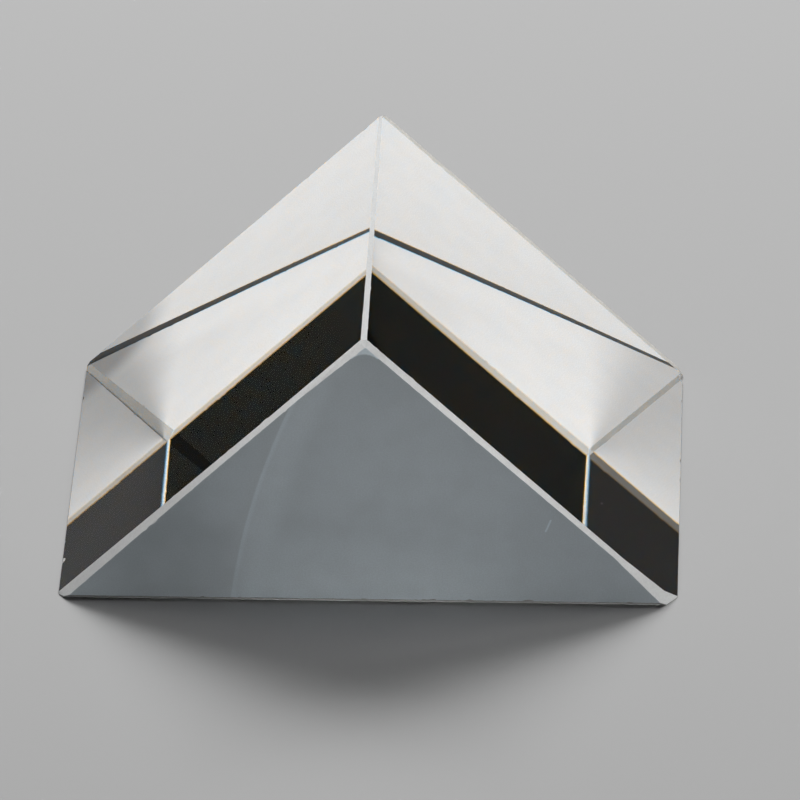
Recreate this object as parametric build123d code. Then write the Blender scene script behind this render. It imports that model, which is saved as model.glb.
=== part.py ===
from build123d import *
import math
import os

# Right angle prism: one block of optical crown glass, lying on its hypotenuse face.
# X runs across the hypotenuse face, Y runs along the roof edge, and Z is up.
# The origin is the middle of the hypotenuse face, on the surface that the prism rests on.
# The front end face looks along -Y.

# ---- the block, in millimetres and degrees ----
leg = 30.0               # each polished leg face, from the roof edge to its side edge, while still sharp
length = 30.0            # from the front end face to the back end face
roof_angle = 90.0        # between the two leg faces

# ---- ground bevels ----
# Every sharp edge is broken by a narrow flat, ground by hand, so it is often wider at one end.
# Each size is the set-back from the sharp edge, measured on the first of the two faces.
# A slant tells how many times as far the flat reaches on the second face. Without one, it reaches
# equally far on both.
roof_bevel_front = 0.30
roof_bevel_back = 0.17
front_left_bevel = 0.25          # on the front end
front_left_slant = 1.6           # on the left leg
front_right_bevel_top = 0.31
front_right_bevel_foot = 0.24
front_right_slant = 1.3
front_base_bevel = 0.38
back_left_bevel_top = 0.55       # on the back end
back_left_bevel_foot = 0.30
back_left_slant = 1.5            # on the left leg
back_right_bevel = 0.10          # on the back end
back_right_slant = 7.0           # on the right leg: a very flat bevel
back_base_bevel_left = 0.54
back_base_bevel_right = 0.21
left_side_bevel_front = 0.18
left_side_bevel_back = 0.44
right_side_bevel_front = 0.10
right_side_bevel_back = 0.22

# ---- second passes over the front bevels ----
# Three more flats, where a front bevel was ground again. Each starts at one end of its edge and
# grows shallower along it. Two of them run out at the distance given here.
left_apex_flat = 0.48            # on the front end, at the apex
left_apex_slant = 0.75
left_apex_flat_reach = 12.9
left_foot_pass_top = 0.11        # on the front end; it leaves no mark near the apex
left_foot_pass_foot = 0.37
left_foot_slant = 2.15
right_foot_pass = 0.69           # on the front end, at the foot
right_foot_slant = 1.06
right_foot_pass_reach = 9.4

# ---- corner flats ----
# Where three bevels meet, the corner is dubbed off as well.
# Each size is the distance from the sharp corner, along the edge that it names.
front_top_flat_down = 0.85
front_top_flat_back = 0.61
right_foot_flat_across = 1.10
right_foot_flat_up = 2.50
right_foot_flat_back = 1.40
left_foot_flat = 0.80
back_top_flat = 0.75
back_left_flat = 1.15
back_right_flat = 0.70

# ---- chips ----
# Two shell-shaped breaks on the thin side edges, as wide and as deep as given here.
left_chip_from_front = 4.5
left_chip_width = 0.55
left_chip_depth = 0.12
right_chip_from_back = 1.3
right_chip_width = 0.80
right_chip_depth = 0.15

# ---- sizes that follow ----
half_roof = math.radians(roof_angle / 2)
half_base = leg * math.sin(half_roof)
height = leg * math.cos(half_roof)
front_y = -length / 2
back_y = length / 2

# The six sharp corners that the block has before its edges are broken.
front_top = Vector(0, front_y, height)
front_left = Vector(-half_base, front_y, 0)
front_right = Vector(half_base, front_y, 0)
back_top = Vector(0, back_y, height)
back_left = Vector(-half_base, back_y, 0)
back_right = Vector(half_base, back_y, 0)

# The way that each of the five faces looks.
front_out = Vector(0, -1, 0)
back_out = Vector(0, 1, 0)
base_out = Vector(0, 0, -1)
left_out = Vector(-math.cos(half_roof), 0, math.sin(half_roof))
right_out = Vector(math.cos(half_roof), 0, math.sin(half_roof))


def block():
    """The sharp prism: the end triangle, drawn on the XZ plane and drawn out along the roof edge."""
    triangle = Plane.XZ * Polyline((-half_base, 0), (half_base, 0), (0, height), close=True)
    return extrude(make_face(triangle), amount=length / 2, both=True)


def grind(glass, first, second, third, outward):
    """One flat through three points. The glass on its outward side is ground away."""
    normal = (second - first).cross(third - first).normalized()
    if normal.dot(outward) < 0:
        normal = -normal
    return split(glass, bisect_by=Plane(origin=first, z_dir=normal), keep=Keep.BOTTOM)


def into_face(face_out, other_out):
    """The direction that lies in one face, square to its edge with the other, and leads into the face."""
    across = other_out - face_out * other_out.dot(face_out)
    return -across.normalized()


def bevel(glass, start, end, one_out, two_out, start_width, end_width, slant=1.0):
    """A flat along the edge between two faces, set back by a width on the first face at each end.

    On the second face it is set back by slant times as much.
    """
    into_one = into_face(one_out, two_out)
    into_two = into_face(two_out, one_out)
    on_one = start + into_one * start_width
    on_two = start + into_two * start_width * slant
    far_on_one = end + into_one * end_width
    return grind(glass, on_one, on_two, far_on_one, one_out + two_out)


def fading_flat(glass, start, end, one_out, two_out, start_width, slant, reach):
    """A flat that is deepest at one end of an edge and runs out after a distance along it."""
    run_out = start + (end - start).normalized() * reach
    return bevel(glass, start, run_out, one_out, two_out, start_width, 0, slant)


def corner_flat(glass, corner, reaches):
    """A flat across one corner. reaches pairs each of its three neighbours with a distance."""
    cuts = [corner + (neighbour - corner).normalized() * reach for neighbour, reach in reaches]
    middle = (cuts[0] + cuts[1] + cuts[2]) * (1 / 3)
    return grind(glass, cuts[0], cuts[1], cuts[2], corner - middle)


def chip(glass, place, outward, width, depth):
    """A shell-shaped break: the bite of a ball whose rim is width across and whose floor is depth down."""
    radius = (width ** 2 / 4 + depth ** 2) / (2 * depth)
    centre = place + outward.normalized() * (radius - depth)
    return glass - Pos(centre.X, centre.Y, centre.Z) * Sphere(radius)


def bevelled(glass):
    """Breaks all nine edges."""
    glass = bevel(glass, front_top, back_top, left_out, right_out, roof_bevel_front, roof_bevel_back)
    glass = bevel(glass, front_top, front_left, front_out, left_out,
                  front_left_bevel, front_left_bevel, front_left_slant)
    glass = bevel(glass, front_top, front_right, front_out, right_out,
                  front_right_bevel_top, front_right_bevel_foot, front_right_slant)
    glass = bevel(glass, front_left, front_right, front_out, base_out,
                  front_base_bevel, front_base_bevel)
    glass = bevel(glass, back_top, back_left, back_out, left_out,
                  back_left_bevel_top, back_left_bevel_foot, back_left_slant)
    glass = bevel(glass, back_top, back_right, back_out, right_out,
                  back_right_bevel, back_right_bevel, back_right_slant)
    glass = bevel(glass, back_left, back_right, back_out, base_out,
                  back_base_bevel_left, back_base_bevel_right)
    glass = bevel(glass, front_left, back_left, left_out, base_out,
                  left_side_bevel_front, left_side_bevel_back)
    return bevel(glass, front_right, back_right, right_out, base_out,
                 right_side_bevel_front, right_side_bevel_back)


def ground_again(glass):
    """The second passes: two over the front left bevel and one over the foot of the front right bevel."""
    glass = fading_flat(glass, front_top, front_left, front_out, left_out,
                        left_apex_flat, left_apex_slant, left_apex_flat_reach)
    glass = bevel(glass, front_top, front_left, front_out, left_out,
                  left_foot_pass_top, left_foot_pass_foot, left_foot_slant)
    return fading_flat(glass, front_right, front_top, front_out, right_out,
                       right_foot_pass, right_foot_slant, right_foot_pass_reach)


def dubbed(glass):
    """Takes the points off all six corners. The front right foot has the largest flat."""
    glass = corner_flat(glass, front_top, [
        (front_left, front_top_flat_down),
        (front_right, front_top_flat_down),
        (back_top, front_top_flat_back)])
    glass = corner_flat(glass, front_right, [
        (front_left, right_foot_flat_across),
        (front_top, right_foot_flat_up),
        (back_right, right_foot_flat_back)])
    glass = corner_flat(glass, front_left, [
        (front_right, left_foot_flat),
        (front_top, left_foot_flat),
        (back_left, left_foot_flat)])
    glass = corner_flat(glass, back_top, [
        (back_left, back_top_flat),
        (back_right, back_top_flat),
        (front_top, back_top_flat)])
    glass = corner_flat(glass, back_left, [
        (back_right, back_left_flat),
        (back_top, back_left_flat),
        (front_left, back_left_flat)])
    glass = corner_flat(glass, back_right, [
        (back_left, back_right_flat),
        (back_top, back_right_flat),
        (front_right, back_right_flat)])
    return glass


def set_back_at(start_width, end_width, distance):
    """The set-back of a tapered bevel, at a distance along its edge from the front."""
    return start_width + (end_width - start_width) * distance / length


def chipped(glass):
    """Two chips, each on the line where a leg face meets the bevel of its side edge."""
    left_set_back = set_back_at(left_side_bevel_front, left_side_bevel_back, left_chip_from_front)
    left_place = front_left + Vector(0, left_chip_from_front, 0)
    left_place += into_face(left_out, base_out) * left_set_back
    glass = chip(glass, left_place, left_out, left_chip_width, left_chip_depth)
    right_chip_from_front = length - right_chip_from_back
    right_set_back = set_back_at(right_side_bevel_front, right_side_bevel_back, right_chip_from_front)
    right_place = front_right + Vector(0, right_chip_from_front, 0)
    right_place += into_face(right_out, base_out) * right_set_back
    return chip(glass, right_place, right_out, right_chip_width, right_chip_depth)


prism = chipped(dubbed(ground_again(bevelled(block()))))

os.makedirs("parts", exist_ok=True)
export_step(prism, "parts/prism.step")
print("prism volume, cubic millimetres:", round(prism.volume, 2))
print("faces:", len(prism.faces()))
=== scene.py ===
# %% [markdown]
# # A right angle prism
#
# The object is one block of optical crown glass: half of a cube, cut corner to corner, lying on the
# cut. Two faces, the legs, meet at the roof edge at a right angle. The legs and the face that it lies
# on are polished. The two triangular ends are only fine-ground, and every edge is broken by a narrow
# bevel, ground by hand.
#
# The CAD model holds that form at its real size. This lesson gives the glass its finish: what light
# does inside the block, and how grinding and polishing differ.

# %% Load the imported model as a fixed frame
import bmesh
import bpy
import numpy as np
from mathutils import Matrix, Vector
from mathutils.geometry import delaunay_2d_cdt


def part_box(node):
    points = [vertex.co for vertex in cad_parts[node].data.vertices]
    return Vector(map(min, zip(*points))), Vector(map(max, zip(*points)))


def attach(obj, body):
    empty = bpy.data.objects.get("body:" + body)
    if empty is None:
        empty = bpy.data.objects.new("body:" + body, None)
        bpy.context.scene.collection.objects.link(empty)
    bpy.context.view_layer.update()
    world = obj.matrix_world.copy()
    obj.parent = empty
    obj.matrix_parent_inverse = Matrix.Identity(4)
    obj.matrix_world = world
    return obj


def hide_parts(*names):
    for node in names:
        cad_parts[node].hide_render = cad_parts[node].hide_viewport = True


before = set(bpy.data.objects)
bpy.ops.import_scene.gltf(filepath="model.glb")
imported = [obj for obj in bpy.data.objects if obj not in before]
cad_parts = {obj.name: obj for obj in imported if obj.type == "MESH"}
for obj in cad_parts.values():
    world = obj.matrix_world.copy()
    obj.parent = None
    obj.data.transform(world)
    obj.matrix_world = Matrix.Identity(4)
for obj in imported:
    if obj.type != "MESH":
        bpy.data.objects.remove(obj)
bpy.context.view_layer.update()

# %% [markdown]
# ## Sizes
#
# Blender works in metres, and a prism is a thing of millimetres, so one name turns one into the
# other. The block is as long as each leg is wide, which gives the sharp edges that it had before its
# bevels were ground: half the width of the face below, and the height of the roof edge.

# %% The block's sizes, from the frame
MM = 0.001
low, high = [np.array(corner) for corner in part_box("prism")]
leg = high[1] - low[1]
half_base = leg * np.sqrt(0.5)
roof_height = half_base
print("leg, half base, millimetres:", round(leg / MM, 3), round(half_base / MM, 3))

# %% [markdown]
# ## The camera
#
# A prism is shown best from above its front end, with a long lens that keeps the edges nearly
# parallel. From 32 degrees up, the eye looks through each leg and meets the face below so flatly
# that it acts as a perfect mirror. So the picture inside the glass hangs on this angle: the camera
# is placed first.

# %% Camera
camera_turn = np.radians(2.500)      # round the prism, towards its left
camera_rise = np.radians(32.62)      # above the floor
camera_roll = np.radians(-0.614)
camera_distance = 737.5 * MM
camera_lens = 481.24                 # millimetres, on a sensor 36 wide
aim = np.array([1.754 * MM, 0, 6.904 * MM])

ahead = np.array([
    -np.sin(camera_turn) * np.cos(camera_rise),
    np.cos(camera_turn) * np.cos(camera_rise),
    -np.sin(camera_rise)])
level = np.cross(ahead, [0, 0, 1])
level = level / np.linalg.norm(level)
upright = np.cross(level, ahead)
camera_right = level * np.cos(camera_roll) + upright * np.sin(camera_roll)
camera_up = upright * np.cos(camera_roll) - level * np.sin(camera_roll)

camera_place = np.eye(4)
camera_place[:3, 0] = camera_right
camera_place[:3, 1] = camera_up
camera_place[:3, 2] = -ahead
camera_place[:3, 3] = aim - ahead * camera_distance

camera_data = bpy.data.cameras.new("camera")
camera_data.lens = camera_lens
camera_data.sensor_width = 36
camera_data.clip_start = 10 * MM
camera_data.clip_end = 50
camera = bpy.data.objects.new("camera", camera_data)
camera.matrix_world = Matrix(camera_place.tolist())
bpy.context.scene.collection.objects.link(camera)
bpy.context.scene.camera = camera
print("camera at", (camera_place[:3, 3] / MM).round(1), "millimetres")

# %% [markdown]
# ## Building with nodes
#
# Every material below is a small tree of nodes. One helper adds a node, sets its properties and
# fills its sockets. A socket is filled with a number or a colour, or joined to another node's output.

# %% Helpers for node trees
def add_node(tree, kind, sockets=None, **properties):
    """Adds a node of one kind. sockets maps a socket's name or number to a value or to an output."""
    made = tree.nodes.new("ShaderNode" + kind)
    for name, value in properties.items():
        setattr(made, name, value)
    for name, value in (sockets or {}).items():
        if isinstance(value, bpy.types.NodeSocket):
            tree.links.new(value, made.inputs[name])
        else:
            made.inputs[name].default_value = value
    return made


def new_material(name):
    """An empty node material: only its output is left."""
    material = bpy.data.materials.new(name)
    material.use_nodes = True
    material.node_tree.nodes.remove(material.node_tree.nodes["Principled BSDF"])
    return material


def show(material, shader):
    """Joins a shader node to the material's surface."""
    tree = material.node_tree
    tree.links.new(shader.outputs[0], tree.nodes["Material Output"].inputs["Surface"])
    print("material", material.name, "has", len(tree.nodes), "nodes")
    return material


def sums(tree, operation, first, second):
    """One sum on two values, each a number or an output."""
    return add_node(tree, "Math", {0: first, 1: second}, operation=operation).outputs[0]


def ramp(tree, value, start, end, low_value, high_value, soft=True):
    """Maps start..end to low_value..high_value, and stays level outside. soft rounds both ends."""
    shape = "SMOOTHSTEP" if soft else "LINEAR"
    sockets = {"Value": value, "From Min": start, "From Max": end,
               "To Min": low_value, "To Max": high_value}
    return add_node(tree, "MapRange", sockets, interpolation_type=shape).outputs["Result"]


# %% [markdown]
# ## The floor
#
# Glass has no look of its own. It shows what stands around it. The legs look out sideways along the
# floor, so a floor that stays pale to the horizon would turn the whole prism milky. Here the floor
# carries a painted pool of light: its paint is pale under the prism and darkens into a dark room, and
# the prism gets its deep black bands from that room. The floor lies a hair's breadth under the glass:
# with air below it, the polished face stays a mirror.

# %% Floor
floor_radius = 4.0
floor_sides = 96
floor_gap = 0.02 * MM
# the painted pool of light: the floor is pale out to pale_to and dark from dark_from
pale_to = 70 * MM
dark_from = 150 * MM
pale_floor = 0.40
dark_floor = 0.012

turn = np.linspace(0, 2 * np.pi, floor_sides, endpoint=False)
ring = np.column_stack([np.cos(turn), np.sin(turn), np.full(floor_sides, -floor_gap / floor_radius)])
floor_mesh = bpy.data.meshes.new("floor")
floor_mesh.from_pydata((ring * floor_radius).tolist(), [], [list(range(floor_sides))])
floor = bpy.data.objects.new("floor", floor_mesh)
bpy.context.scene.collection.objects.link(floor)


def floor_paint():
    """Matt paint with a painted pool of light: pale near the prism, and darker smoothly with the distance."""
    material = new_material("floor_paint")
    tree = material.node_tree
    place = add_node(tree, "TexCoord").outputs["Object"]
    distance = add_node(tree, "VectorMath", {0: place}, operation="LENGTH").outputs["Value"]
    shade = ramp(tree, distance, pale_to, dark_from, pale_floor, dark_floor)
    sockets = {"Base Color": shade, "Roughness": 0.9, "Specular IOR Level": 0.2}
    return show(material, add_node(tree, "BsdfPrincipled", sockets))


floor_mesh.materials.append(floor_paint())

# %% [markdown]
# ## The light
#
# Two soft boxes light the prism, and the room gives almost nothing. The large one stands behind and
# above. The ground end at the back takes its light and passes it on, and that end is what fills the
# upper half of the prism with white. The small one hangs overhead, a little to the right, and lights
# the bevels and the front end.

# %% Soft boxes
def soft_box(name, turn_to, rise, distance, width, depth, power):
    """A rectangular lamp that looks at the prism. turn_to 0 stands behind it and 90 to its right."""
    lamp = bpy.data.lights.new(name, "AREA")
    lamp.shape = "RECTANGLE"
    lamp.size = width
    lamp.size_y = depth
    lamp.energy = power
    around = np.radians(turn_to)
    above = np.radians(rise)
    out = np.array([np.sin(around) * np.cos(above), np.cos(around) * np.cos(above), np.sin(above)])
    across = np.cross([0, 0, 1], out)
    across = across / np.linalg.norm(across)
    place = np.eye(4)
    place[:3, 0] = across
    place[:3, 1] = np.cross(out, across)
    place[:3, 2] = out
    place[:3, 3] = out * distance + [0, 0, roof_height / 2]
    holder = bpy.data.objects.new(name, lamp)
    holder.matrix_world = Matrix(place.tolist())
    bpy.context.scene.collection.objects.link(holder)
    print(name, "gives", power, "watts")
    return holder


soft_box("back_soft_box", turn_to=0, rise=52, distance=0.6, width=0.50, depth=0.22, power=4.4)
soft_box("top_soft_box", turn_to=70, rise=78, distance=0.6, width=0.30, depth=0.30, power=1.0)

# %% The dark room
room_at_horizon = 0.015
room_above = 0.003
horizon_from = 0.02              # heights on a sphere of radius 1 round the prism
horizon_to = 0.35


def dark_room():
    """The world: nearly black, and a little lighter along the horizon."""
    world = bpy.data.worlds.new("dark_room")
    world.use_nodes = True
    tree = world.node_tree
    towards = add_node(tree, "TexCoord").outputs["Generated"]
    height = add_node(tree, "SeparateXYZ", {0: towards}).outputs["Z"]
    shade = ramp(tree, height, horizon_from, horizon_to, room_at_horizon, room_above)
    tree.links.new(shade, tree.nodes["Background"].inputs["Color"])
    return world


bpy.context.scene.world = dark_room()
bpy.context.scene.view_settings.view_transform = "Standard"

# %% [markdown]
# ## The glass block: its polygons
#
# The CAD model gives a few hundred loose triangles. Merging their doubled corners and dissolving the
# lines that run across a flat face leaves the true polygons: five large faces, nine bevels, six
# corner flats and the facets of two small chips. The large faces have to stay perfectly flat,
# because a mirror image inside the glass shows the smallest dent. The bevels don't: a bevel is
# ground by hand on a coarse wheel, its rims are slightly ragged, and its surface is rough. So each
# bevel is built again from fine triangles, and the large faces only follow its ragged rims.

# %% Polygons of the block
def merged_polygons(node, same_place, same_plane):
    """A copy of a node's mesh with doubled corners merged and flat neighbours joined, as arrays."""
    shape = bmesh.new()
    shape.from_mesh(node.data)
    bmesh.ops.remove_doubles(shape, verts=shape.verts, dist=same_place)
    bmesh.ops.dissolve_limit(shape, angle_limit=same_plane, verts=shape.verts, edges=shape.edges)
    shape.verts.index_update()
    corners = np.array([corner.co for corner in shape.verts])
    rims = [[corner.index for corner in face.verts] for face in shape.faces]
    normals = np.array([face.normal for face in shape.faces])
    areas = np.array([face.calc_area() for face in shape.faces])
    shape.free()
    return corners, rims, normals, areas


same_place = 0.001 * MM
same_plane = np.radians(0.5)
large_faces = 5
corners, rims, normals, areas = merged_polygons(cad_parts["prism"], same_place, same_plane)
large = np.argsort(areas)[-large_faces:]
print(len(rims), "polygons, the five large ones have", (areas[large] / MM ** 2).round(1), "mm2")

# %% [markdown]
# ## Which surface is which
#
# A worker at the bench would tell most of these surfaces apart: the two polished legs, the polished
# base that the block lies on, the two fine-ground ends, the roof bevel, the bevels of the front end,
# the bevels of the back end, the low ones round the base, and the shell-shaped chips. The left and
# right bevels of the back end are one finish, kept apart for a painted shade on the left and a painted
# light on the right. The way that a polygon looks, and its size, tell which one it is.

# %% Kinds of surface
LEG, BASE, FRONT_END, BACK_END = range(4)
ROOF_BEVEL, FRONT_BEVEL, BACK_LEFT_BEVEL, BACK_RIGHT_BEVEL, LOW_BEVEL, CHIP = range(4, 10)
chip_facet = 0.02 * MM ** 2
square = 0.99                    # the least share of a normal that lies along an axis, for a square face
leans = 0.1
leans_left = -0.3
looks_up = 0.75
looks_down = -0.2
rightward, backward, upward = normals.T
kinds = np.full(len(rims), FRONT_BEVEL)
kinds[backward > leans] = BACK_RIGHT_BEVEL
kinds[(backward > leans) & (rightward < leans_left)] = BACK_LEFT_BEVEL
kinds[(upward > looks_up) & (backward > -leans)] = ROOF_BEVEL
kinds[upward < looks_down] = LOW_BEVEL
kinds[areas < chip_facet] = CHIP
kinds[large] = LEG
kinds[upward < -square] = BASE
kinds[backward < -square] = FRONT_END
kinds[backward > square] = BACK_END
is_flat = kinds <= BACK_END
print("polygons of each kind:", np.bincount(kinds).tolist())

# %% [markdown]
# ## Ragged rims
#
# A grinding wheel leaves a rim that wanders by a few hundredths of a millimetre, with a small nick
# here and there. A random number for each point would give another rim each time that the number of
# points changes. A sum of plane waves, each running its own way through space, gives every place its
# own fixed value instead, whatever the mesh.

# %% A wandering value for every place
def wander(places, seed, shortest, longest, waves=24):
    """Sum over the waves of sin(place . direction / length + start): about 1 at most, and smooth."""
    dice = np.random.default_rng(seed)
    directions = dice.normal(size=(waves, 3))
    directions = directions / np.linalg.norm(directions, axis=1)[:, None]
    lengths = shortest * (longest / shortest) ** dice.random(waves)
    starts = dice.random(waves) * 2 * np.pi
    phases = places @ (directions * (2 * np.pi / lengths)[:, None]).T + starts
    return np.sin(phases).sum(axis=1) * np.sqrt(2 / waves) / 2


def into_face(face, one_end, other_end):
    """The direction in a face's plane that is square to one of its rim's edges and leads inwards."""
    inward = np.cross(normals[face], other_end - one_end)
    inward = inward / np.linalg.norm(inward)
    centre = corners[rims[face]].mean(axis=0)
    return inward * np.sign(inward @ (centre - one_end))


# %% [markdown]
# ## Dividing the edges
#
# Every edge is cut into short pieces once, and the two faces beside it share its points, so the mesh
# stays closed. Where a large face meets a bevel, the points wander sideways in the plane of the
# large face, and nicks bite further into it. The shift fades out towards the corners.

# %% Edge points
pitch = 0.085 * MM
rim_wander = {"seed": 3, "shortest": 0.25 * MM, "longest": 2.5 * MM}
rim_depth = 0.009 * MM
nick_wander = {"seed": 5, "shortest": 0.5 * MM, "longest": 1.6 * MM}
nick_depth = 0.045 * MM
nick_rarity = 0.62               # only where the wandering value is above this is there a nick
corner_fade = 0.3 * MM


def edge_points(start, end, faces):
    """Points between two corners: start + (end - start) * t, shifted along the large face's inside."""
    span = np.linalg.norm(end - start)
    pieces = max(1, round(span / pitch))
    along = np.arange(1, pieces)[:, None] / pieces
    straight = start + (end - start) * along
    beside = [face for face in faces if is_flat[face]]
    if pieces < 3 or not beside:
        return straight
    from_corner = np.minimum(along, 1 - along)[:, 0] * span
    fade = np.clip(from_corner / corner_fade, 0, 1)
    nicks = np.clip(wander(straight, **nick_wander) - nick_rarity, 0, None) / (1 - nick_rarity)
    shift = rim_depth * wander(straight, **rim_wander) + nick_depth * nicks
    return straight + np.outer(shift * fade, into_face(beside[0], start, end))


edge_faces = {}
for face, rim in enumerate(rims):
    for first, second in zip(rim, rim[1:] + rim[:1]):
        edge_faces.setdefault((min(first, second), max(first, second)), []).append(face)

points = [corners]
point_count = len(corners)
edge_numbers = {}
for (first, second), faces in sorted(edge_faces.items()):
    added = edge_points(corners[first], corners[second], faces)
    edge_numbers[first, second] = list(range(point_count, point_count + len(added)))
    points.append(added)
    point_count += len(added)
print(len(edge_faces), "edges, divided by", point_count - len(corners), "points")

# %% [markdown]
# ## Filling the faces
#
# Each face is laid flat in its own two axes. A large face is filled from its rim alone. A bevel also
# gets a lattice of inner points, pushed about at random within their cells, and each inner point is
# sunk or raised a few thousandths of a millimetre, which is what a coarse abrasive leaves. A
# constrained Delaunay triangulation joins them all without crossing the rim.

# %% Inner points of a ground face
grain_wander = {"seed": 9, "shortest": 0.17 * MM, "longest": 0.6 * MM}
grain_height = 0.006 * MM
rim_clearance = 0.6              # in pitches, for every inner point
push = 0.3                       # in cells of the lattice
push_seed = 11


def flat_axes(normal):
    """Two unit directions in a face's plane. Their cross product is the face's normal."""
    reference = [0, 0, 1] if abs(normal[2]) < 0.9 else [1, 0, 0]
    first = np.cross(reference, normal)
    first = first / np.linalg.norm(first)
    return np.array([first, np.cross(normal, first)])


def inside(places, rim):
    """True where a ray to the right crosses the rim an odd number of times, and the rim isn't near."""
    ends = np.roll(rim, -1, axis=0)
    x, y = places[:, :1], places[:, 1:]
    straddles = (rim[:, 1] > y) != (ends[:, 1] > y)
    rise = np.where(ends[:, 1] == rim[:, 1], 1, ends[:, 1] - rim[:, 1])
    crossing = rim[:, 0] + (y - rim[:, 1]) * (ends[:, 0] - rim[:, 0]) / rise
    odd = (straddles & (x < crossing)).sum(axis=1) % 2 == 1
    nearest = np.min((x - rim[:, 0]) ** 2 + (y - rim[:, 1]) ** 2, axis=1)
    return odd & (nearest > (rim_clearance * pitch) ** 2)


def lattice(rim):
    """A square lattice over the rim's box, each point pushed about at random within its cell."""
    steps = [np.arange(lowest, highest, pitch) for lowest, highest in zip(rim.min(axis=0), rim.max(axis=0))]
    grid = np.stack(np.meshgrid(*steps), axis=-1).reshape(-1, 2)
    pushed = grid + np.random.default_rng(push_seed).uniform(-push, push, grid.shape) * pitch
    return pushed[inside(pushed, rim)]


# %% Fill every face
def whole_rim(rim):
    """The numbers of all the points round a face, corners and divisions, in order."""
    numbers = []
    for first, second in zip(rim, rim[1:] + rim[:1]):
        numbers.append(first)
        numbers += edge_numbers[first, second] if first < second else edge_numbers[second, first][::-1]
    return numbers


shared_points = np.concatenate(points)
triangles = []
triangle_kinds = []
for face, rim in enumerate(rims):
    numbers = whole_rim(rim)
    axes = flat_axes(normals[face])
    rim_flat = shared_points[numbers] @ axes.T
    level_of_face = shared_points[numbers] @ normals[face]
    inner_flat = np.empty((0, 2)) if is_flat[face] or kinds[face] == CHIP else lattice(rim_flat)
    inner = inner_flat @ axes + normals[face] * level_of_face.mean()
    inner += np.outer(wander(inner, **grain_wander), normals[face]) * grain_height
    every_flat = np.concatenate([rim_flat, inner_flat]) / MM
    loop = list(range(len(numbers)))
    filled = delaunay_2d_cdt(every_flat.tolist(), [], [loop], 1, 1e-7)
    came_from = np.array([origins[0] for origins in filled[3]])
    own_numbers = np.array(numbers + list(range(point_count, point_count + len(inner))))
    made = own_numbers[came_from[np.array(filled[2])]]
    triangles.append(made)
    triangle_kinds.append(np.full(len(made), kinds[face]))
    points.append(inner)
    point_count += len(inner)
print(point_count, "points and", sum(map(len, triangles)), "triangles")

# %% [markdown]
# ## Putting the block together
#
# The arrays go into one mesh. It stands for the CAD node, which stays in the file for its weight and
# its collisions. A closed mesh matters more in glass than anywhere else: light that slips in through
# a gap never finds its way out. So the count of open edges and the volume are checked.

# %% The finished mesh
glass_mesh = bpy.data.meshes.new("prism_glass")
glass_mesh.from_pydata(np.concatenate(points).tolist(), [], np.concatenate(triangles).tolist())
glass = bpy.data.objects.new("prism_glass", glass_mesh)
bpy.context.scene.collection.objects.link(glass)


def check_closed(mesh):
    """Counts the edges without two faces, and measures the volume in cubic millimetres."""
    shape = bmesh.new()
    shape.from_mesh(mesh)
    open_edges = sum(len(edge.link_faces) != 2 for edge in shape.edges)
    volume = shape.calc_volume(signed=True) / MM ** 3
    loose = sum(not corner.link_faces for corner in shape.verts)
    shape.free()
    print("open edges:", open_edges, " loose points:", loose, " volume, mm3:", round(volume, 1))


check_closed(glass_mesh)

# %% [markdown]
# ## Polished glass
#
# Three things make polished glass: it bends light, it mirrors a little of it, and at a flat angle
# from inside it mirrors all of it. Blender's one-node glass does all three, but its outer faces
# mirror as bare glass does. These faces are coated against that, as on many prisms of this kind, so
# the finish is built from its parts: a refraction, a gloss, and the share of gloss. That share is
# the Fresnel curve cut down to a tenth, until it comes near to a full mirror, where a coating has no
# say. Glass also bends blue a little more than red. So each leg's refraction is an even mix of two, one
# for red and half of the green and one for blue and the other half, each doubled because the mix
# halves it. That draws the thin orange and blue lines along the dark bands. A few specks of dust break
# up the surface.

# %% Polished finish
glass_index = 1.545
warm_index = 1.541
blue_index = 1.549
mirror_index = 1.552             # above the blue one, so that no colour is lost at the limit
coating = 0.1
nearly_full = 0.97               # from this share on, the coating has no say
dust_scale = 330.0               # cells per metre, each with one speck
speck_core = 0.008               # in cells
speck_rim = 0.014
speck_roughness = 0.35


def polished_glass(name, splits=False, mirror_tone=None):
    """A refraction and a gloss, mixed by a damped Fresnel share, with dust in the roughness.

    splits makes the refraction an even mix of a warm and a blue one. mirror_tone colours the gloss.
    """
    material = new_material(name)
    tree = material.node_tree
    place = add_node(tree, "TexCoord").outputs["Object"]
    cells = add_node(tree, "TexVoronoi", {"Vector": place, "Scale": dust_scale, "Randomness": 1.0})
    speck = ramp(tree, cells.outputs["Distance"], speck_core, speck_rim, speck_roughness, 0.0)
    fresnel = add_node(tree, "Fresnel", {"IOR": mirror_index}).outputs[0]
    coated = sums(tree, "MULTIPLY", fresnel, coating)
    full = ramp(tree, fresnel, nearly_full, 1.0, 0.0, 1.0, soft=False)
    share = sums(tree, "MAXIMUM", coated, full)
    if splits:
        warm = add_node(tree, "BsdfRefraction", {
            "IOR": warm_index, "Roughness": speck, "Color": (2, 1, 0, 1)})
        blue = add_node(tree, "BsdfRefraction", {
            "IOR": blue_index, "Roughness": speck, "Color": (0, 1, 2, 1)})
        bent = add_node(tree, "MixShader", {0: 0.5, 1: warm.outputs[0], 2: blue.outputs[0]})
    else:
        bent = add_node(tree, "BsdfRefraction", {"IOR": glass_index, "Roughness": speck})
    tone = mirror_tone(tree, place) if mirror_tone else (1, 1, 1, 1)
    mirrored = add_node(tree, "BsdfGlossy", {"Roughness": speck, "Color": tone})
    return show(material, add_node(tree, "MixShader", {0: share, 1: bent.outputs[0], 2: mirrored.outputs[0]}))
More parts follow.
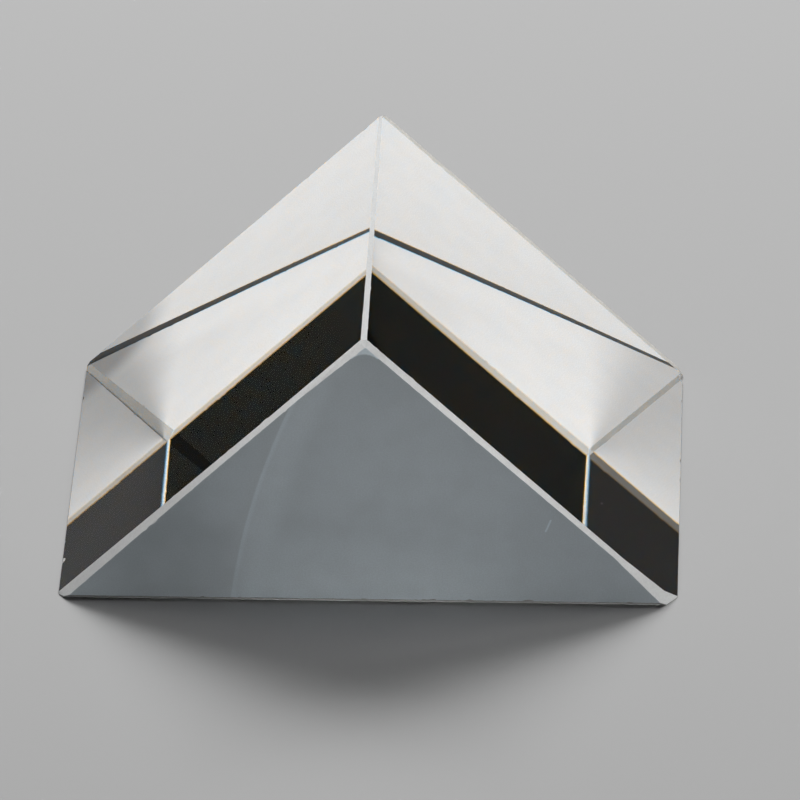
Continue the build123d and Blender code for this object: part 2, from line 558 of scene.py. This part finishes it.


# %% [markdown]
# ## Painted shade on the base
#
# The base's mirror image is dimmed by a painted shade: a grey, darker on the left, and two painted
# shadows. Each is darkest along a line which runs from beside the middle of the base to a back corner,
# and thins out to both sides like a fan. Towards the back edge the painted shade is lighter. It shows
# as a soft shadow in each lower corner of the white. An angle round the fan's point gives the shade.

# %% Painted shade in the base's mirror
mirror_shade_left = 0.88                 # the share of light that the painted shade leaves, and where it changes
mirror_shade_right = 0.96
mirror_shade_left_x = -10 * MM
mirror_shade_right_x = 4 * MM
fan_from = np.radians(-8)        # a fan's angles run from straight back, outwards
fan_full = np.radians(28)
fan_fades = np.radians(38)
fan_to = np.radians(140)
left_fan = {"point": np.array([-10.9, -0.2, 0]) * MM, "outwards": -1, "strength": 0.48}
right_fan = {"point": np.array([11.7, -0.4, 0]) * MM, "outwards": 1, "strength": 0.35}
blend = 0.1                      # how softly a fan's rise turns into its fall
shade_lifts_from = 10.3 * MM         # towards the back edge, where the painted shade is lighter
shade_lifts_to = 12.5 * MM
shade_lifted_by = 0.7


def fan(tree, place, point, outwards, strength):
    """A painted shadow as a factor: 1 outside the fan, and 1 - strength along its darkest line."""
    offset = add_node(tree, "VectorMath", {0: place, 1: point}, operation="SUBTRACT").outputs[0]
    axis = add_node(tree, "SeparateXYZ", {0: offset})
    aside = sums(tree, "MULTIPLY", axis.outputs["X"], outwards)
    angle = sums(tree, "ARCTAN2", aside, axis.outputs["Y"])
    rising = ramp(tree, angle, fan_from, fan_full, 0.0, strength)
    falling = ramp(tree, angle, fan_fades, fan_to, strength, 0.0, soft=False)
    shadow = add_node(tree, "Math", {0: rising, 1: falling, 2: blend}, operation="SMOOTH_MIN")
    return sums(tree, "SUBTRACT", 1.0, shadow.outputs[0])


def lifted(tree, factor, share):
    """A factor, brought nearer to 1 by a share of what it lacks."""
    return sums(tree, "ADD", factor, sums(tree, "MULTIPLY", share, sums(tree, "SUBTRACT", 1.0, factor)))


def painted_mirror_shade(tree, place):
    """Painted shade: a grey, darker on the left and lighter at the back, times the two painted shadows."""
    axis = add_node(tree, "SeparateXYZ", {0: place})
    x, y = axis.outputs["X"], axis.outputs["Y"]
    left_right_shade = ramp(tree, x, mirror_shade_left_x, mirror_shade_right_x, mirror_shade_left, mirror_shade_right)
    fans = sums(tree, "MULTIPLY", fan(tree, place, **left_fan), fan(tree, place, **right_fan))
    lifted_shade = lifted(tree, left_right_shade, ramp(tree, y, shade_lifts_from, shade_lifts_to, 0.0, shade_lifted_by))
    return sums(tree, "MULTIPLY", fans, lifted_shade)


# %% [markdown]
# ## Ground glass
#
# Grinding leaves a surface of tiny pits. Light that passes is spread every way, so the surface looks
# white where light reaches it from within or behind, and grey where it doesn't. Two shaders share
# the work: a rough glass, and a translucent one that spreads light as paper does. How much of each
# there is depends on how coarse the abrasive was.

# %% Ground finish
cloud_scale = 420.0              # per metre: soft clouds about two millimetres across
pit_shade = 0.9                  # painted shade: the share of the tone that is left in the deepest pits
rough_range = 0.1
FINE = {"grain": 9000.0, "grain_depth": 0.004 * MM}
COARSE = {"grain": 6000.0, "grain_depth": 0.01 * MM}
SHELL = {"grain": 2500.0, "grain_depth": 0.01 * MM}


def ground_glass(name, tone, roughness, clearness, papery, grain, grain_depth, cloud_low=0.93, marks_and_painted_light=None):
    """Rough glass mixed with a translucent sheet.

    tone is the colour, clearness the glass's share of the body and papery the sheet's share of the
    whole. grain is the pits per metre. The tone is darkened by clouds, by a painted shade in the pits,
    and by the marks and painted light.
    """
    material = new_material(name)
    tree = material.node_tree
    place = add_node(tree, "TexCoord").outputs["Object"]
    pits = add_node(tree, "TexNoise", {"Vector": place, "Scale": grain, "Detail": 3.0}).outputs[0]
    cloud = add_node(tree, "TexNoise", {"Vector": place, "Scale": cloud_scale, "Detail": 2.0}).outputs[0]
    shade = ramp(tree, cloud, 0.3, 0.7, cloud_low, 1.0)
    pit_painted_shade = ramp(tree, pits, 0.35, 0.65, pit_shade, 1.0)
    depth = sums(tree, "MULTIPLY", shade, pit_painted_shade)
    if marks_and_painted_light:
        depth = sums(tree, "MULTIPLY", depth, marks_and_painted_light(tree, place))
    colour = add_node(tree, "VectorMath", {0: tone, "Scale": depth}, operation="SCALE").outputs[0]
    bump = add_node(tree, "Bump", {"Height": pits, "Distance": grain_depth, "Strength": 1.0}).outputs[0]
    rough = ramp(tree, pits, 0.3, 0.7, roughness - rough_range, roughness)
    body = add_node(tree, "BsdfPrincipled", {
        "Base Color": colour, "Roughness": rough, "IOR": glass_index,
        "Transmission Weight": clearness, "Normal": bump})
    if not papery:
        return show(material, body)
    sheet = add_node(tree, "BsdfTranslucent", {"Color": colour, "Normal": bump})
    return show(material, add_node(tree, "MixShader", {0: papery, 1: body.outputs[0], 2: sheet.outputs[0]}))


# %% [markdown]
# ## Marks and painted light on the ends
#
# The front end gets a painted light low in the middle, where the floor in front lies in shadow, and
# it is a little darker towards the top and round a spot near its left foot. The back end gets a painted
# shade: darker towards its foot, and most at its left foot. The front was also wiped once, from the
# base up towards the roof: the wipe left a faint paler band with a crisp left side. Low on the right
# there is a short scratch, and the very point at the apex has a painted highlight that stands in for a
# rounded tip. All of it is worked out from the place on the end, as a factor on the tone: 1 changes
# nothing.

# %% Marks and painted light from the place on an end
wipe_foot = -9.35 * MM           # where the band's left side meets the base
wipe_lean = 0.12
wipe_curve = 9.5                 # per metre
wipe_width = 3.0 * MM
wipe_line = 0.3 * MM
wipe_gain = 0.17
line_gain = 0.13
scratch_start = np.array([12.54, -15.0, 6.97]) * MM
scratch_end = np.array([12.20, -15.0, 6.08]) * MM
scratch_half_width = 0.06 * MM
scratch_gain = 0.5
pale_gain = 0.45                 # painted light, low in the middle of the front end
pale_height = 7 * MM
pale_core = 4 * MM               # from the middle, to each side
pale_rim = 15 * MM
# a darker spot near the front end's left foot
dark_foot_spot = {"centre": np.array([-13.0, -15.0, 3.0]) * MM, "inner": 2 * MM, "outer": 7 * MM, "loss": 0.27}
# painted shade at the back end's left foot
back_foot_shade = {"centre": np.array([-21.0, 15.0, 0.0]) * MM, "inner": 5 * MM, "outer": 9 * MM, "loss": 0.42}
arc_middle = np.array([0.05, -15.0, 18.9]) * MM     # beyond an arc round here, near the front apex, the point gets a painted highlight
arc_inner = 1.14 * MM                               # the point is rubbed pale
arc_outer = 1.26 * MM
# the painted highlight at the apex, which stands in for a rounded tip
apex_highlight_gain = 1.2
apex_highlight_from = 19.7 * MM
apex_highlight_to = 19.8 * MM


def spot(tree, place, centre, inner, outer, loss):
    """A factor: 1 - loss within the inner radius of a centre, and 1 beyond the outer radius."""
    away = add_node(tree, "VectorMath", {0: place, 1: centre}, operation="DISTANCE").outputs["Value"]
    return ramp(tree, away, inner, outer, 1.0 - loss, 1.0)


def wipe(tree, x, z):
    """The band's gain: 0 outside. Its left side is x = foot + lean * z + curve * z * z."""
    lean = sums(tree, "ADD", wipe_lean, sums(tree, "MULTIPLY", z, wipe_curve))
    side = sums(tree, "ADD", wipe_foot, sums(tree, "MULTIPLY", z, lean))
    across = sums(tree, "SUBTRACT", x, side)
    starts = ramp(tree, across, -0.05 * MM, 0.1 * MM, 0.0, 1.0)
    fades = ramp(tree, across, wipe_width * 0.4, wipe_width, wipe_gain, 0.0)
    line = ramp(tree, across, wipe_line * 0.6, wipe_line * 1.4, line_gain, 0.0)
    return sums(tree, "MULTIPLY", starts, sums(tree, "ADD", fades, line))


def scratch(tree, place):
    """The scratch's gain: 0 outside. It is measured along the scratch and square to it."""
    run = scratch_end - scratch_start
    length = np.linalg.norm(run)
    along_way = run / length
    square_way = np.cross(along_way, [0, 1, 0])
    offset = add_node(tree, "VectorMath", {0: place, 1: scratch_start}, operation="SUBTRACT").outputs[0]
    along = add_node(tree, "VectorMath", {0: offset, 1: along_way}, operation="DOT_PRODUCT")
    beside = add_node(tree, "VectorMath", {0: offset, 1: square_way}, operation="DOT_PRODUCT")
    from_middle = sums(tree, "ABSOLUTE", sums(tree, "SUBTRACT", along.outputs["Value"], length / 2), 0.0)
    within = ramp(tree, from_middle, length / 2, length / 2 + 0.1 * MM, 1.0, 0.0)
    aside = sums(tree, "ABSOLUTE", beside.outputs["Value"], 0.0)
    cut = ramp(tree, aside, scratch_half_width * 0.5, scratch_half_width * 1.5, scratch_gain, 0.0)
    return sums(tree, "MULTIPLY", within, cut)


def front_marks_and_painted_light(tree, place):
    """A factor near 1: painted light low in the middle, the darker top, the dark spot, the wipe, the scratch
    and the painted highlight at the point.
    """
    axis = add_node(tree, "SeparateXYZ", {0: place})
    x, z = axis.outputs["X"], axis.outputs["Z"]
    # painted light, low in the middle
    low_down = ramp(tree, z, 0.0, pale_height, pale_gain, 0.0)
    middle = ramp(tree, sums(tree, "ABSOLUTE", x, 0.0), pale_core, pale_rim, 1.0, 0.15)
    upwards = ramp(tree, z, 10 * MM, 20 * MM, 1.0, 0.85, soft=False)
    marked = sums(tree, "ADD", wipe(tree, x, z), scratch(tree, place))
    gain = sums(tree, "ADD", sums(tree, "ADD", upwards, marked), sums(tree, "MULTIPLY", low_down, middle))
    spot_darkened = sums(tree, "MULTIPLY", gain, spot(tree, place, **dark_foot_spot))
    # the painted highlight at the apex point
    beyond = spot(tree, place, arc_middle, arc_inner, arc_outer, 1.0)
    high_up = ramp(tree, z, apex_highlight_from, apex_highlight_to, 0.0, apex_highlight_gain)
    return sums(tree, "MULTIPLY", spot_darkened, sums(tree, "ADD", 1.0, sums(tree, "MULTIPLY", beyond, high_up)))


def left_to_right_factor(tree, place, left, right):
    """A factor that goes from one value at the left foot to another at the right foot."""
    aside = add_node(tree, "SeparateXYZ", {0: place}).outputs["X"]
    return ramp(tree, aside, -18 * MM, 6 * MM, left, right, soft=False)


def front_bevel_painted_shade(tree, place):
    """Painted shade: the front bevels are darkest at the left foot, away from the light from the right."""
    return left_to_right_factor(tree, place, 0.68, 1.02)


def low_bevel_darker_left(tree, place):
    """The low bevels are darker towards the left and paler towards the right."""
    return left_to_right_factor(tree, place, 0.7, 1.5)


def back_end_painted_shade(tree, place):
    """A factor of painted shade: paler towards the roof and darker towards the base, and darker at the left
    foot.
    """
    height = add_node(tree, "SeparateXYZ", {0: place}).outputs["Z"]
    upwards = ramp(tree, height, 0.0, 17 * MM, 0.92, 1.0, soft=False)
    return sums(tree, "MULTIPLY", upwards, spot(tree, place, **back_foot_shade))


# %% Give each kind of surface its finish
CLEAN_WHITE = (0.96, 0.955, 0.94)
# the front end's grey, darker than the back end's white, is a painted shade on the same fine-ground glass
FRONT_SHADED_GREY = (0.435, 0.515, 0.57)
BEVEL_WHITE = (0.90, 0.93, 0.94)
ROOF_WHITE = (0.70, 0.71, 0.71)
# one ground bevel: the left ones of the back end take a painted shade, the right ones a painted light, as the
# light comes from the right
BACK_LEFT_SHADED_GREY = (0.30, 0.292, 0.272)
BACK_RIGHT_LIT_GREY = (0.82, 0.80, 0.755)
# the low bevels' dark grey is a painted shade along the foot of the block
LOW_BEVEL_SHADE_GREY = (0.15, 0.15, 0.15)
finishes = {
    LEG: polished_glass("polished_leg", splits=True),
    # the base's mirror carries the painted shade
    BASE: polished_glass("polished_base", mirror_tone=painted_mirror_shade),
    FRONT_END: ground_glass(
        "front_end", FRONT_SHADED_GREY, roughness=0.9, clearness=0.38, papery=0, marks_and_painted_light=front_marks_and_painted_light, **FINE),
    BACK_END: ground_glass(
        "back_end", CLEAN_WHITE, roughness=1.0, clearness=0.5, papery=0.92,
        cloud_low=0.975, marks_and_painted_light=back_end_painted_shade, **FINE),
    ROOF_BEVEL: ground_glass(
        "roof_bevel", ROOF_WHITE, roughness=1.0, clearness=0.35, papery=0, **COARSE),
    FRONT_BEVEL: ground_glass(
        "front_bevel", BEVEL_WHITE, roughness=0.85, clearness=0.85, papery=0,
        marks_and_painted_light=front_bevel_painted_shade, **COARSE),
    BACK_LEFT_BEVEL: ground_glass(
        "back_left_bevel", BACK_LEFT_SHADED_GREY, roughness=1.0, clearness=0.6, papery=0.3, **COARSE),
    BACK_RIGHT_BEVEL: ground_glass(
        "back_right_bevel", BACK_RIGHT_LIT_GREY, roughness=1.0, clearness=0.05, papery=0.42, **COARSE),
    LOW_BEVEL: ground_glass(
        "low_bevel", LOW_BEVEL_SHADE_GREY, roughness=0.9, clearness=0.5, papery=0.3,
        marks_and_painted_light=low_bevel_darker_left, **COARSE),
    CHIP: ground_glass("chip", CLEAN_WHITE, roughness=0.3, clearness=0.9, papery=0, **SHELL),
}
for kind in sorted(finishes):
    glass_mesh.materials.append(finishes[kind])
glass_mesh.polygons.foreach_set("material_index", np.concatenate(triangle_kinds).astype(np.int32))
glass_mesh.polygons.foreach_set("use_smooth", np.zeros(len(glass_mesh.polygons), bool))
glass_mesh.update()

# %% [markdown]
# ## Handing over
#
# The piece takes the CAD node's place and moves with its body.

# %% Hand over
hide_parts("prism")
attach(glass, "root")
